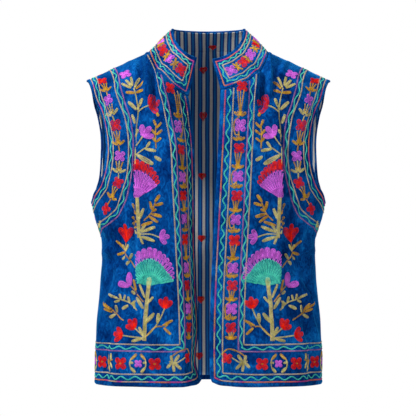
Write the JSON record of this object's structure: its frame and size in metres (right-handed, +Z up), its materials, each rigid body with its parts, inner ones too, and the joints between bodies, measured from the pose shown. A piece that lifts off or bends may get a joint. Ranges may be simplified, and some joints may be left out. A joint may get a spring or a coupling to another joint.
{
  "type": "embroidered waistcoat",
  "caption": "Sleeveless hip-length velvet waistcoat with a stand collar and open front, chain-stitch embroidery and a striped lining, in worn hollow form.",
  "frame": {"origin": "centre back neck point, in the velvet of the back panel at the neck seam", "axes": "+Z up along the centre back, +X to the wearer's left, the open front faces -Y"},
  "size_m": [0.41, 0.2297, 0.5952],
  "materials": {
    "velvet": "crushed pile with a soft sheen",
    "lining": "plain woven cotton, striped",
    "thread_red": "matte chain stitch, red",
    "thread_orange": "matte chain stitch, orange red",
    "thread_lilac": "matte chain stitch, lilac",
    "thread_teal": "matte chain stitch, teal",
    "thread_gold": "matte chain stitch, old gold",
    "thread_cream": "matte chain stitch, olive cream",
    "thread_beige": "matte chain stitch, beige",
    "thread_mauve": "matte chain stitch, mauve",
    "thread_variegated": "matte space-dyed chain stitch"
  },
  "bodies": {
    "root": {"front_right": "velvet", "front_left": "velvet", "back_panel": "velvet", "collar": "velvet", "lining_front_right": "lining", "lining_front_left": "lining", "lining_back": "lining", "lining_collar": "lining"}
  },
  "joints": []
}
